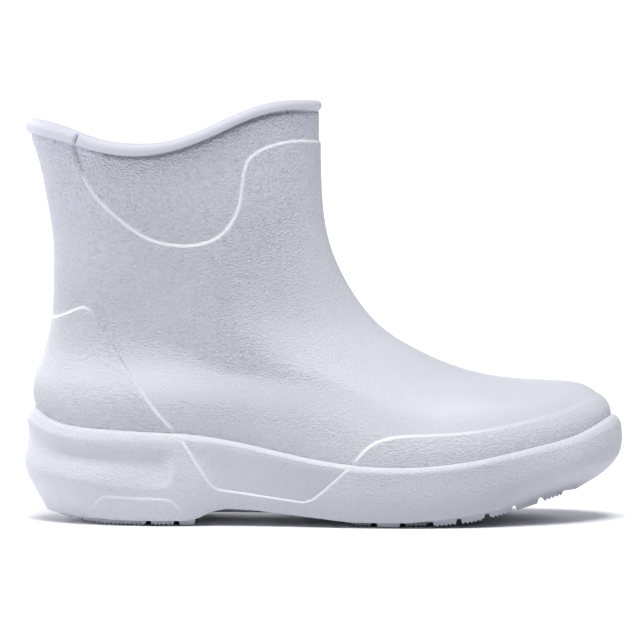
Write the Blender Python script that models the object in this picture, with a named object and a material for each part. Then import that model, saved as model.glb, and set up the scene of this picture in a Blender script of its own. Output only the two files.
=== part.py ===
"""Moulded EVA ankle boot for wet work: a right boot, empty, standing on its sole.

The toe points along +X, the outer side of the foot faces -Y and +Z is up. The origin is on the floor
under the middle of the boot. Sizes are in millimetres here, and add_piece turns them into metres.

A place round the boot is its turn, from 0 at the back of the heel, along the outer side to 0.5 at the
toe tip, and back along the inner side. A place up the upper is its level, the row number in SECTIONS.
"""

import bmesh
import bpy
import numpy as np

MM = 0.001

# Driving sizes
LENGTH = 292.0
BALL_WIDTH = 106.0
HEEL_WIDTH = 79.0
WAIST_WIDTH = 78.0
COLLAR_WIDTH = 89.0
ANKLE_WIDTH = 72.0
LEDGE_AT_HEEL = 55.7
LEDGE_AT_TOE = 50.6
COLLAR_AT_FRONT = 198.4
COLLAR_AT_BACK = 187.0
WALL = 3.0
GAP = 0.3

# Moulded steps of the upper: toe guard and heel counter stand out, the counter less so at the back,
# and the collar panel lies back.
GUARD_STEP = 0.8
COUNTER_FLATTER = 0.7
COUNTER_BACK = (-136.0, -122.0)
PANEL_STEP = 1.0
STEP_RUN = 0.9
STEP_FADE = 4.0
BEAD_IN = 0.6

# Side panels of the sole: the ribbed one is cut into its wall, the plate on the heel stands out.
RIB_PANEL_DEPTH = 0.8
HEEL_PLATE_STANDS = 0.5

# Rubber treads, let into trays under the sole.
TREAD_STANDS = 2.5
TREAD_BASE = 2.0
TREAD_LIP = 3.4
GROOVE_WIDTH = 2.4
GROOVE_DRAFT = 0.3
CENTRE_GROOVE = 3.0
INSOLE_THICK = 4.0
INSOLE_DROP = 1.5

# How finely the solids are divided.
COLUMNS = 84
DENSE_FROM = -122.0
DENSE_TO = -62.0
DENSE_MORE = 1.6
GUARD_ROWS = 3
BODY_ROWS = 14
SOLE_ROWS = 12
BODY_BIAS = 1.3
ROW_EASING = 9
PANEL_ROWS = 3
BEAD_ROWS = 6
INNER_ROWS = 12
INNER_BIAS = 1.3
FINE = 400

HALF = LENGTH / 2
SIDE = BALL_WIDTH / 2

# Plan of the sole at its widest, from the back of the heel round the outer side: place, x, y.
OUTLINE = (
    ("heel_back", -HALF, 0.0),
    ("heel_corner_outer", -133.5, -24.5),
    ("heel_outer", -104.0, -HEEL_WIDTH / 2),
    ("waist_outer", -45.0, -41.0),
    ("ball_outer", 32.0, -SIDE),
    ("toe_outer", 93.0, -45.5),
    ("tip_outer", 130.0, -24.0),
    ("tip", HALF, 7.0),
    ("tip_inner", 130.0, 35.5),
    ("toe_inner", 98.0, 49.0),
    ("ball_inner", 57.0, SIDE),
    ("waist_inner", -38.0, WAIST_WIDTH - 41.0),
    ("heel_inner", -104.0, HEEL_WIDTH / 2),
    ("heel_corner_inner", -133.5, 24.5),
)

# Line where upper and sole meet, seen from the side: x, z.
LEDGE_LINE = (
    (-HALF, 57.5),
    (-139.9, LEDGE_AT_HEEL),
    (-135.0, 52.3),
    (-127.0, 49.1),
    (-112.0, 47.1),
    (-88.0, 45.7),
    (-60.0, 43.5),
    (-41.0, 40.3),
    (-19.0, 35.4),
    (6.0, 30.8),
    (22.0, 29.4),
    (38.0, 29.1),
    (56.0, 30.2),
    (76.0, 33.0),
    (104.0, 38.8),
    (122.0, 43.2),
    (139.0, LEDGE_AT_TOE),
    (HALF, 54.0),
)

# Foot of the sole's own wall: x, z. It dips to the floor at heel and ball, and rises at arch and toe.
WALL_FOOT = (
    (-HALF, 6.5),
    (-133.0, 4.8),
    (-116.0, 3.2),
    (-98.0, TREAD_STANDS),
    (-66.0, TREAD_STANDS),
    (-60.0, 3.9),
    (-54.0, 6.2),
    (-47.0, 7.5),
    (-32.0, 6.8),
    (-8.0, 4.5),
    (13.0, TREAD_STANDS),
    (40.0, TREAD_STANDS),
    (52.0, 3.6),
    (66.0, 5.2),
    (80.0, 7.4),
    (94.0, 10.1),
    (107.0, 12.7),
    (118.0, 14.3),
    (HALF, 14.6),
)

# Underside of the treads: x, z. Flat at heel and ball, with a heel bevel and a toe spring.
GROUND = (
    (-131.0, 3.9),
    (-124.0, 2.5),
    (-116.0, 1.2),
    (-106.0, 0.0),
    (-62.0, 0.0),
    (12.0, 0.0),
    (48.0, 0.0),
    (56.0, 0.7),
    (70.0, 2.1),
    (84.0, 5.0),
    (99.0, 8.2),
    (120.0, 12.6),
)

# Footbed inside the sole: x, z.
FOOTBED = (
    (-HALF, 27.0),
    (-100.0, 24.0),
    (-50.0, 22.0),
    (0.0, 16.5),
    (40.0, 14.0),
    (80.0, 17.0),
    (115.0, 23.5),
    (HALF, 30.0),
)

# Wall of the sole: share of its height, then how far it lies inside the plan at heel, side and toe.
SOLE_WALL = (
    ("foot", 0.00, 11.0, 3.6, 22.0),
    ("under", 0.10, 7.9, 1.9, 16.0),
    ("low", 0.24, 4.0, 0.8, 8.6),
    ("bulge", 0.46, 0.0, 0.0, 1.7),
    ("scoop", 0.70, 2.0, 0.1, 0.0),
    ("ridge", 0.86, 1.2, 0.3, 0.6),
    ("ridge_edge", 0.91, 1.6, 0.6, 1.0),
    ("ridge_top", 0.955, 3.1, 1.9, 2.7),
    ("crown", 1.00, 4.8, 3.3, 4.5),
    ("root", 1.00, 5.6, 4.2, 5.8),
)
HEEL_TURN = (-134.0, -70.0)
TOE_TURN = (70.0, 136.0)

# Scoop in the heel's side: it follows the back round to its front end.
SCOOP_DEPTH = 2.2
SCOOP_FRONT = -73.0
SCOOP_FADE = 11.0
SCOOP_SHARES = (0.44, 0.88)

# Sections of the upper: ends of the section line in the middle plane, then its widths and lines.
# fullness scales the foot outline, swell widens the rear half and pinch narrows the heel, half_width
# is the shaft oval's and oval blends from foot to shaft. sag follows the ledge line, as rear_sag does
# in the rear half, and dip follows the collar line.
SECTION_COLUMNS = (
    "back_x", "back_z", "front_x", "front_z", "fullness", "swell", "pinch", "half_width", "oval", "sag",
    "rear_sag", "dip",
)
SECTIONS = (
    ("ledge", -139.9, LEDGE_AT_HEEL, 138.9, LEDGE_AT_TOE, 1.000, 0.000, 0.000, 42.0, 0.00, 1.00, 1.00, 0.00),
    ("guard_middle", -141.0, 60.5, 137.4, 56.6, 1.008, 0.036, 0.000, 41.0, 0.00, 0.97, 0.80, 0.00),
    ("guard_top", -140.7, 67.5, 133.6, 61.4, 0.990, 0.060, 0.000, 39.5, 0.02, 0.90, 0.48, 0.00),
    ("toe_top", -138.6, 75.0, 121.5, 66.3, 0.950, 0.024, 0.038, 38.0, 0.09, 0.77, 0.22, 0.00),
    ("vamp_front", -135.6, 83.0, 98.5, 67.8, 0.910, 0.006, 0.090, 37.2, 0.24, 0.60, 0.11, 0.00),
    ("vamp", -133.4, 91.5, 70.0, 72.3, 0.880, 0.000, 0.080, 36.6, 0.42, 0.43, 0.06, 0.00),
    ("instep_low", -132.2, 101.0, 43.5, 83.4, 0.860, 0.000, 0.060, 36.2, 0.60, 0.28, 0.03, 0.00),
    ("instep", -131.7, 111.5, 24.0, 97.3, 0.870, 0.000, 0.035, ANKLE_WIDTH / 2, 0.78, 0.15, 0.00, 0.00),
    ("ankle", -131.5, 124.0, 9.5, 118.2, 0.910, 0.000, 0.010, 36.4, 0.92, 0.05, 0.00, 0.00),
    ("shaft_low", -132.1, 139.0, 1.9, 138.0, 0.960, 0.000, 0.000, 37.6, 1.00, 0.00, 0.00, 0.06),
    ("shaft", -134.6, 155.0, -0.8, 158.0, 1.000, 0.000, 0.000, 39.6, 1.00, 0.00, 0.00, 0.30),
    ("shaft_top", -138.0, 172.0, -1.5, 178.5, 1.000, 0.000, 0.000, 42.0, 1.00, 0.00, 0.00, 0.70),
    ("bead_root", -142.5, COLLAR_AT_BACK, -1.5, COLLAR_AT_FRONT, 1.000, 0.000, 0.000, COLLAR_WIDTH / 2,
     1.00, 0.00, 0.00, 1.00),
)
SWELL_ENDS = (-50.0, 45.0)
PINCH_ENDS = (-112.0, -44.0)
REAR_SAG_ENDS = (-15.0, 55.0)
TOP_LEVEL = len(SECTIONS) - 1

# Root of the collar's bead: share of the way from back to front, z.
COLLAR_LINE = (
    (0.00, COLLAR_AT_BACK),
    (0.12, 183.3),
    (0.24, 178.6),
    (0.36, 176.2),
    (0.49, 178.4),
    (0.63, 185.4),
    (0.77, 194.3),
    (0.90, 198.4),
    (1.00, COLLAR_AT_FRONT),
)

# On its inner side the collar is cut lower: by how much, and between which shares.
INNER_DROP = 2.4
INNER_DROP_STARTS = (0.02, 0.16)
INNER_DROP_ENDS = (0.34, 0.50)

# Rolled collar: share of the way from back to front, height of the bead and how far it stands out.
BEAD = (
    (0.00, 8.6, 1.8),
    (0.12, 9.2, 2.0),
    (0.24, 7.7, 2.2),
    (0.36, 7.0, 2.2),
    (0.45, 6.2, 2.2),
    (0.70, 5.9, 2.0),
    (0.90, 5.3, 1.2),
    (1.00, 5.3, 0.7),
)

# Upper edge of heel counter and toe guard, seen from the side: x, z. Below the ledge there is none.
GUARD_LINE = (
    (-HALF, 96.5),
    (-131.5, 98.8),
    (-121.0, 102.7),
    (-116.5, 104.2),
    (-113.6, 103.6),
    (-110.4, 100.0),
    (-103.8, 89.8),
    (-93.0, 73.2),
    (-80.5, 55.2),
    (-71.0, 44.0),
    (-60.0, 24.0),
    (4.0, 17.0),
    (10.0, 24.5),
    (15.0, 31.8),
    (19.5, 37.2),
    (25.0, 40.9),
    (31.0, 42.9),
    (42.0, 44.0),
    (64.0, 44.9),
    (84.0, 47.4),
    (104.0, 51.4),
    (118.0, 54.7),
    (129.0, 58.9),
    (HALF, 64.0),
)

# Lower edge of the recessed collar panel, seen from the side: x, z.
PANEL_LINE = (
    (-120.4, 192.0),
    (-119.9, 181.5),
    (-118.3, 175.0),
    (-112.0, 160.8),
    (-98.6, 147.1),
    (-86.0, 138.4),
    (-68.0, 134.2),
    (-50.4, 138.5),
    (-41.6, 150.0),
    (-38.8, 164.0),
    (-35.6, 175.6),
    (-28.0, 180.8),
    (-12.0, 184.3),
    (0.0, 183.8),
)

# Corners of the side panels in the sole's wall: x, z, from the upper back one towards the toe.
RIB_PANEL = ((-67.6, 41.4), (11.2, 28.6), (-6.0, 11.2), (-54.8, 17.3))
HEEL_PLATE = ((-107.0, 14.2), (-73.0, 13.0), (-67.5, 5.6), (-112.5, 6.0))
PANEL_STEPS_LONG = 8
PANEL_STEPS_HIGH = 3
PANEL_REACH = 4.0

# Treads: back and front end of each, and where its grooves run across.
HEEL_TREAD = (-130.0, -62.0)
HEEL_GROOVES = (-120.2, -84.4, -70.8)
TOE_TREAD = (13.0, 116.5)
TOE_GROOVE_FIRST = 24.0
TOE_GROOVE_PITCH = 13.5
TOE_GROOVES = 7

WHITE_EVA = (0.78, 0.79, 0.83)
RUBBER_GREY = (0.62, 0.64, 0.69)
INSOLE_GREY = (0.70, 0.71, 0.74)


def spline(knots, values, at):
    """Values at the given places on the smooth curve that runs through the knots."""
    knots = np.asarray(knots, float)
    values = np.asarray(values, float)
    run = np.diff(knots)
    slope = np.diff(values) / run
    system = np.eye(len(knots))
    target = np.zeros(len(knots))
    for i in range(1, len(knots) - 1):
        system[i, i - 1 : i + 2] = run[i - 1], 2 * (run[i - 1] + run[i]), run[i]
        target[i] = 6 * (slope[i] - slope[i - 1])
    bend = np.linalg.solve(system, target)
    at = np.asarray(at, float)
    i = np.clip(np.searchsorted(knots, at) - 1, 0, len(run) - 1)
    ahead = knots[i + 1] - at
    behind = at - knots[i]
    curve = (bend[i] * ahead**3 + bend[i + 1] * behind**3) / (6 * run[i])
    start = (values[i] / run[i] - bend[i] * run[i] / 6) * ahead
    end = (values[i + 1] / run[i] - bend[i + 1] * run[i] / 6) * behind
    return curve + start + end


def line_height(line, x):
    """Height of a side line at x: a smooth line through its points, held inside its ends."""
    knots, heights = zip(*line)
    return spline(knots, heights, np.clip(x, knots[0], knots[-1]))


def straight_height(line, x):
    """Height of a side line at x, straight from point to point."""
    return np.interp(x, *zip(*line))


def soft_step(value, low, high):
    """0 below low, 1 above high, and a soft rise between them."""
    share = np.clip((np.asarray(value, float) - low) / (high - low), 0.0, 1.0)
    return share * share * (3 - 2 * share)


def curve_through(points, closed):
    """FINE points, evenly spaced along the smooth curve through the given ones."""
    points = np.asarray(points, float)
    laps = np.vstack([points, points, points, points[:1]]) if closed else points
    run = np.concatenate([[0], np.cumsum(np.linalg.norm(np.diff(laps, axis=0), axis=1))])
    first, last = (len(points), 2 * len(points)) if closed else (0, len(points) - 1)
    at = np.linspace(run[first], run[last], 4 * FINE)
    dense = np.column_stack([spline(run, column, at) for column in laps.T])
    length = np.concatenate([[0], np.cumsum(np.linalg.norm(np.diff(dense, axis=0), axis=1))])
    even = np.linspace(0, length[-1], FINE)
    return np.column_stack([np.interp(even, length, column) for column in dense.T])


def sole_plan():
    """Plan of the sole as turns, x, y and the outward direction, its box centred on the origin."""
    plan = curve_through([(x, y) for _, x, y in OUTLINE], closed=True)
    plan -= (plan.min(axis=0) + plan.max(axis=0)) / 2
    along = (np.roll(plan[:-1], -1, axis=0) - np.roll(plan[:-1], 1, axis=0)) / 2
    along = np.vstack([along, along[:1]])
    along /= np.linalg.norm(along, axis=1)[:, None]
    tip = np.argmax(plan[:, 0])
    steps = np.arange(FINE)
    turns = np.where(steps <= tip, 0.5 * steps / tip, 0.5 + 0.5 * (steps - tip) / (FINE - 1 - tip))
    return turns, plan, np.column_stack([along[:, 1], -along[:, 0]])


PLAN_TURNS, PLAN, PLAN_OUT = sole_plan()


def plan_at(turn, inset):
    """x and y of the sole's plan at a turn, moved inwards by inset."""
    x, y, out_x, out_y = (
        np.interp(turn, PLAN_TURNS, column) for column in (*PLAN.T, *PLAN_OUT.T)
    )
    out = np.hypot(out_x, out_y)
    return x - inset * out_x / out, y - inset * out_y / out


def column_turns():
    """Turns of the columns, closer together where the heel counter's front edge runs."""
    turns = np.linspace(0, 0.5, FINE)
    x, _ = plan_at(turns, 0)
    margin = (DENSE_TO - DENSE_FROM) / 4
    near = soft_step(x, DENSE_FROM, DENSE_FROM + margin) * (1 - soft_step(x, DENSE_TO - margin, DENSE_TO))
    count = np.concatenate([[0], np.cumsum(1 + DENSE_MORE * near[1:])])
    outer = np.interp(np.linspace(0, count[-1], COLUMNS // 2 + 1), count, turns)
    return np.concatenate([outer, 1 - outer[-2:0:-1]])


TURNS = column_turns()


def wall_inset(turn, share):
    """How far the sole's wall lies inside its plan, at a share of its height."""
    _, shares, heel, side, toe = zip(*SOLE_WALL[:-1])
    x, _ = plan_at(turn, 0)
    at_heel = 1 - soft_step(x, *HEEL_TURN)
    at_toe = soft_step(x, *TOE_TURN)
    heel, side, toe = (spline(shares, insets, share) for insets in (heel, side, toe))
    return side + at_heel * (heel - side) + at_toe * (toe - side) + scoop_inset(x, share)


def scoop_inset(x, share):
    """Extra depth of the scoop in the heel's side."""
    low, high = SCOOP_SHARES
    round_bowl = np.sin(np.pi * np.clip((share - low) / (high - low), 0, 1)) ** 2
    beside_back = soft_step(x, -HALF, HEEL_TURN[0] + SCOOP_FADE)
    return SCOOP_DEPTH * round_bowl * beside_back * (1 - soft_step(x, SCOOP_FRONT - SCOOP_FADE, SCOOP_FRONT))


def root_inset(turn):
    """How far the foot of the upper lies inside the sole's plan."""
    _, _, heel, side, toe = SOLE_WALL[-1]
    x, _ = plan_at(turn, 0)
    at_heel = 1 - soft_step(x, *HEEL_TURN)
    at_toe = soft_step(x, *TOE_TURN)
    return side + at_heel * (heel - side) + at_toe * (toe - side)


def wall_point(turn, share, deeper=0.0):
    """Point of the sole's wall at a share of its height."""
    x, y = plan_at(turn, wall_inset(turn, share) + deeper)
    foot_x, _ = plan_at(turn, wall_inset(turn, 0.0))
    root_x, _ = plan_at(turn, root_inset(turn))
    foot = straight_height(WALL_FOOT, foot_x)
    return np.stack([x, y, foot + (line_height(LEDGE_LINE, root_x) - foot) * share], axis=-1)


def section_values(level):
    """Every column of SECTIONS at a level, as a dictionary."""
    rows = np.arange(len(SECTIONS))
    columns = list(zip(*SECTIONS))[1:]
    return {name: spline(rows, column, level) for name, column in zip(SECTION_COLUMNS, columns)}


def upper_base(turn, level):
    """Point of the upper's smooth outer form, before its moulded steps."""
    row = section_values(level)
    foot_x, foot_y = plan_at(turn, root_inset(turn))
    first = SECTIONS[0]
    foot_share = (foot_x - first[1]) / (first[3] - first[1])
    angle = 2 * np.pi * turn
    share = foot_share + row["oval"] * ((1 - np.cos(angle)) / 2 - foot_share)
    x = row["back_x"] + (row["front_x"] - row["back_x"]) * share
    swell = row["swell"] * (1 - soft_step(foot_x, *SWELL_ENDS))
    pinch = row["pinch"] * (1 - soft_step(foot_x, *PINCH_ENDS))
    y_foot = foot_y * (row["fullness"] + swell - pinch)
    y = y_foot + row["oval"] * (-np.sin(angle) * row["half_width"] - y_foot)
    ledge_x = first[1] + (first[3] - first[1]) * share
    ledge_chord = first[2] + (first[4] - first[2]) * share
    collar_chord = COLLAR_AT_BACK + (COLLAR_AT_FRONT - COLLAR_AT_BACK) * share
    z = row["back_z"] + (row["front_z"] - row["back_z"]) * share
    sag = row["sag"] + (row["rear_sag"] - row["sag"]) * (1 - soft_step(x, *REAR_SAG_ENDS))
    z = z + sag * (line_height(LEDGE_LINE, ledge_x) - ledge_chord)
    z = z + row["dip"] * (line_height(COLLAR_LINE, share) - inner_drop(turn, share) - collar_chord)
    return np.stack([x, y, z + GAP], axis=-1)


def inner_drop(turn, share):
    """How much lower the collar is cut on the inner side of the foot."""
    along = soft_step(share, *INNER_DROP_STARTS) * (1 - soft_step(share, *INNER_DROP_ENDS))
    return INNER_DROP * along * (np.asarray(turn) > 0.5)


def upper_frame(turn, level):
    """Point of the upper's smooth form, its outward direction and its upward direction."""
    turn, level = np.broadcast_arrays(np.asarray(turn, float), np.asarray(level, float))
    small = 1e-3
    along = upper_base((turn + small) % 1, level) - upper_base((turn - small) % 1, level)
    low = np.clip(level - small, 0, TOP_LEVEL)
    up = upper_base(turn, np.clip(level + small, 0, TOP_LEVEL)) - upper_base(turn, low)
    out = np.cross(along, up)
    out[..., 2] *= soft_step(level, 0.0, 0.8)
    out /= np.linalg.norm(out, axis=-1, keepdims=True)
    return upper_base(turn, level), out, up / np.linalg.norm(up, axis=-1, keepdims=True)


def upper_skin(turn, level, lift):
    """Point of the upper lifted off its smooth form."""
    point, out, _ = upper_frame(turn, level)
    return point + out * np.asarray(lift, float)[..., None]


def level_of_line(turns, height_at):
    """Level at which each turn's line up the upper first meets a side line."""
    levels = np.linspace(0, TOP_LEVEL, FINE)
    found = np.zeros(len(turns))
    for i, turn in enumerate(turns):
        points = upper_base(turn, levels)
        over = points[:, 2] - height_at(points[:, 0])
        above = np.argmax(over > 0)
        if over[above] <= 0:
            found[i] = TOP_LEVEL
        elif above:
            share = over[above] / (over[above] - over[above - 1])
            found[i] = levels[above] - share * (levels[above] - levels[above - 1])
    return found


def level_step(turns, level, run):
    """How many levels it takes to climb run millimetres from a level."""
    small = 0.05
    rise = upper_base(turns, level + small) - upper_base(turns, level)
    return run * small / np.linalg.norm(rise, axis=-1)


def panel_height(x):
    """Height of the collar panel's lower edge at x. Behind the panel it lies above the collar."""
    line = curve_through(PANEL_LINE, closed=False)
    return np.where(x < PANEL_LINE[0][0], 2 * COLLAR_AT_FRONT, np.interp(x, *line.T))


def upper_loops():
    """Rings of the upper, up its outside, over the collar's bead and down its inside."""
    turns = TURNS
    ledge = upper_base(turns, np.zeros(COLUMNS))
    guard = level_of_line(turns, lambda x: line_height(GUARD_LINE, x))
    guard_edge = upper_base(turns, guard)
    guard_lift = GUARD_STEP * soft_step(guard_edge[:, 2] - ledge[:, 2], 0.0, STEP_FADE)
    guard_lift = guard_lift * (1 - COUNTER_FLATTER * (1 - soft_step(guard_edge[:, 0], *COUNTER_BACK)))
    guard = np.maximum(guard, level_step(turns, np.zeros(COLUMNS), STEP_RUN))
    guard_over = guard + level_step(turns, guard, STEP_RUN)

    top = np.full(COLUMNS, float(TOP_LEVEL))
    panel = level_of_line(turns, panel_height)
    panel_height_left = upper_base(turns, top)[:, 2] - upper_base(turns, panel)[:, 2]
    panel_lift = -PANEL_STEP * soft_step(panel_height_left, 0.0, STEP_FADE)
    tight = level_step(turns, top - 0.2, STEP_RUN)
    panel = np.minimum(panel, top - 2 * tight)
    panel_over = panel + tight

    none = np.zeros(COLUMNS)
    loops = []
    for share in np.linspace(0, 1, GUARD_ROWS + 2):
        loops.append(upper_skin(turns, guard * share, guard_lift))
    around = [np.roll(guard_over, shift) for shift in range(-ROW_EASING, ROW_EASING + 1)]
    eased = np.maximum(guard_over, np.mean(around, axis=0))
    for share in np.linspace(0, 1, BODY_ROWS + 2) ** BODY_BIAS:
        start = guard_over + soft_step(share, 0.0, 0.3) * (eased - guard_over)
        loops.append(upper_skin(turns, start + share * (panel - start), none))
    for share in np.linspace(0, 1, PANEL_ROWS + 1):
        loops.append(upper_skin(turns, panel_over + share * (top - panel_over), panel_lift))
    loops += bead_loops(turns, top)
    for share in np.linspace(1, 0, INNER_ROWS) ** INNER_BIAS:
        loops.append(upper_skin(turns, top * share, none - WALL))
    return loops


def bead_loops(turns, top):
    """Rings of the rolled collar, an oval bead that stands out of the wall on both sides."""
    point, out, up = upper_frame(turns, top)
    shares, heights, stands_out = zip(*BEAD)
    at = (1 - np.cos(2 * np.pi * turns)) / 2
    height = spline(shares, heights, at)
    outside = spline(shares, stands_out, at)
    middle = (outside - WALL - BEAD_IN) / 2
    half = (outside + WALL + BEAD_IN) / 2
    loops = []
    for angle in np.radians(np.linspace(-50, 230, BEAD_ROWS + 2)):
        across = middle + half * np.cos(angle)
        climb = height / 2 * (1 + np.sin(angle))
        loops.append(point + out * across[:, None] + up * climb[:, None])
    return loops


def sole_loops():
    """Rings of the sole, from its underside up the wall, over the ledge and down to the footbed."""
    turns = TURNS
    knots = [share for _, share, *_ in SOLE_WALL[:-1]]
    shares = np.interp(np.linspace(0, len(knots) - 1, SOLE_ROWS), np.arange(len(knots)), knots)
    loops = [wall_point(turns, share) for share in shares]
    for drop, inset in ((False, WALL), (True, WALL + INSOLE_DROP)):
        x, y = plan_at(turns, root_inset(turns) + inset)
        root_x, _ = plan_at(turns, root_inset(turns))
        z = line_height(FOOTBED, x) if drop else line_height(LEDGE_LINE, root_x)
        loops.append(np.column_stack([x, y, z]))
    return loops


def insole_loops():
    """Rings of the insole, a sheet that lies on the footbed."""
    turns = TURNS[::2]
    x, y = plan_at(turns, root_inset(turns) + WALL + INSOLE_DROP + 2 * GAP)
    bed = line_height(FOOTBED, x) + 2 * GAP
    return [np.column_stack([x, y, bed]), np.column_stack([x, y, bed + INSOLE_THICK])]


def faces_round(count, rings, closed):
    """Four-sided faces between neighbouring rings, and between last and first if closed."""
    faces = []
    for ring in range(rings if closed else rings - 1):
        low = ring * count
        high = (ring + 1) % rings * count
        for i in range(count):
            j = (i + 1) % count
            faces.append((low + i, low + j, high + j, high + i))
    return faces


def ladder(first, count, facing_up):
    """Faces that close a ring by rungs from its outer to its inner side."""
    faces = []
    for i in range(count // 2):
        rung = [i, i + 1, (count - i - 1) % count, (count - i) % count]
        rung = [first + k for k in dict.fromkeys(rung)]
        faces.append(tuple(rung if facing_up else reversed(rung)))
    return faces


def add_piece(name, points, faces, material):
    """A named object from points in millimetres and faces, with its normals outwards."""
    mesh = bpy.data.meshes.new(name)
    mesh.from_pydata((np.asarray(points) * MM).tolist(), [], faces)
    shape = bmesh.new()
    shape.from_mesh(mesh)
    bmesh.ops.triangulate(shape, faces=shape.faces, quad_method="SHORT_EDGE")
    bmesh.ops.recalc_face_normals(shape, faces=shape.faces)
    shape.to_mesh(mesh)
    shape.free()
    mesh.shade_smooth()
    mesh.set_sharp_from_angle(angle=np.radians(40))
    piece = bpy.data.objects.new(name, mesh)
    bpy.context.scene.collection.objects.link(piece)
    if material:
        mesh.materials.append(material)
    else:
        piece.hide_render = True
        piece.display_type = "WIRE"
    return piece


def add_ringed(name, loops, material, closed):
    """A piece from rings: joined into a hollow wall, or capped at its first and last ring."""
    count = len(loops[0])
    faces = faces_round(count, len(loops), closed)
    if not closed:
        faces += ladder(0, count, facing_up=False)
        faces += ladder((len(loops) - 1) * count, count, facing_up=True)
    return add_piece(name, np.vstack(loops), faces, material)


def add_strip(name, rows, material=None):
    """A bar along X from rows of x, low y, high y, low z, high z."""
    points = [
        corner
        for x, y_low, y_high, z_low, z_high in rows
        for corner in ((x, y_low, z_low), (x, y_high, z_low), (x, y_high, z_high), (x, y_low, z_high))
    ]
    last = 4 * (len(rows) - 1)
    faces = faces_round(4, len(rows), closed=False)
    faces += [(3, 2, 1, 0), (last, last + 1, last + 2, last + 3)]
    return add_piece(name, points, faces, material)


def combine(piece, operation, other):
    """Takes the other shape out of the piece, or adds it."""
    boolean = piece.modifiers.new(other.name, "BOOLEAN")
    boolean.operation = operation
    boolean.object = other


def tread_sides(x, inset):
    """Low and high y of a tread at x, inside the foot of the sole's wall."""
    turns = np.linspace(0, 1, FINE)
    foot = np.column_stack(plan_at(turns, wall_inset(turns, 0.0) + inset))
    middle = FINE // 2
    outer = np.interp(x, foot[:middle, 0], foot[:middle, 1])
    inner = np.interp(x, foot[:middle - 1:-1, 0], foot[:middle - 1:-1, 1])
    return outer, inner


def tread_rows(ends, grooves, inset, low, high):
    """Rows of a tread plate whose underside is cut away by low in its grooves."""
    half = GROOVE_WIDTH / 2
    stops = [(x, False) for x in np.linspace(*ends, 12)]
    stops = [stop for stop in stops if all(abs(stop[0] - g) > GROOVE_WIDTH for g in grooves)]
    for groove in grooves:
        for edge in (-half, half):
            stops.append((groove + edge * (1 + GROOVE_DRAFT), False))
            stops.append((groove + edge * (1 - GROOVE_DRAFT), True))
    rows = []
    for x, in_groove in sorted(stops):
        ground = straight_height(GROUND, x)
        rows.append((x, *tread_sides(x, inset), ground + (low if in_groove else 0.0), ground + high))
    return rows


def add_tread(name, ends, grooves, sole, material):
    """A rubber tread with its lugs, and the tray for it in the sole."""
    high = TREAD_STANDS + TREAD_BASE
    tread = add_strip(name, tread_rows(ends, grooves, TREAD_LIP, TREAD_STANDS, high), material)
    centre = [
        (x, -CENTRE_GROOVE / 2, CENTRE_GROOVE / 2, straight_height(GROUND, x) - TREAD_STANDS,
         straight_height(GROUND, x) + TREAD_STANDS)
        for x in np.linspace(ends[0] + 2 * GROOVE_WIDTH, ends[1] - 2 * GROOVE_WIDTH, 12)
    ]
    combine(tread, "DIFFERENCE", add_strip(name + "_centre_groove", centre))
    tray_ends = (ends[0] - GAP, ends[1] + GAP)
    tray = tread_rows(tray_ends, (), TREAD_LIP - GAP, 0.0, high + GAP)
    tray = [(x, y_low, y_high, z_low - high, z_high) for x, y_low, y_high, z_low, z_high in tray]
    combine(sole, "DIFFERENCE", add_strip(name + "_tray", tray))


def add_side_panel(name, corners, insets, operation, sole, inner):
    """A four-cornered panel in one side of the sole's wall, between an outer and an inner inset."""
    upper_back, upper_front, lower_front, lower_back = np.asarray(corners, float)
    turns = np.linspace(0, 0.5, FINE)
    if inner:
        turns = 1 - turns
    wall_x = plan_at(turns, 0)[0]
    points = []
    for inset in insets:
        for b in np.linspace(0, 1, PANEL_STEPS_HIGH + 1):
            for a in np.linspace(0, 1, PANEL_STEPS_LONG + 1):
                lower = lower_back + a * (lower_front - lower_back)
                x, z = lower + b * (upper_back + a * (upper_front - upper_back) - lower)
                turn = np.interp(x, wall_x, turns)
                foot = straight_height(WALL_FOOT, x)
                share = (z - foot) / (line_height(LEDGE_LINE, x) - foot)
                points.append(wall_point(turn, share, inset))
    across = PANEL_STEPS_LONG + 1
    sheet = across * (PANEL_STEPS_HIGH + 1)
    faces = []
    for side in (0, sheet):
        for row in range(PANEL_STEPS_HIGH):
            for i in range(PANEL_STEPS_LONG):
                k = side + row * across + i
                faces.append((k, k + 1, k + 1 + across, k + across))
    last = across * PANEL_STEPS_HIGH
    rim = list(range(across)) + [across * row + across - 1 for row in range(1, PANEL_STEPS_HIGH + 1)]
    rim += list(range(last + across - 2, last - 1, -1))
    rim += [across * row for row in range(PANEL_STEPS_HIGH - 1, 0, -1)]
    for a, b in zip(rim, rim[1:] + rim[:1]):
        faces.append((a, b, b + sheet, a + sheet))
    combine(sole, operation, add_piece(name, points, faces, None))


def add_material(name, colour, roughness):
    """A plain moulded material."""
    material = bpy.data.materials.new(name)
    material.use_nodes = True
    shader = material.node_tree.nodes["Principled BSDF"]
    shader.inputs["Base Color"].default_value = (*colour, 1.0)
    shader.inputs["Roughness"].default_value = roughness
    shader.inputs["Metallic"].default_value = 0.0
    return material


def clear_scene():
    for item in list(bpy.data.objects):
        bpy.data.objects.remove(item, do_unlink=True)


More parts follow.
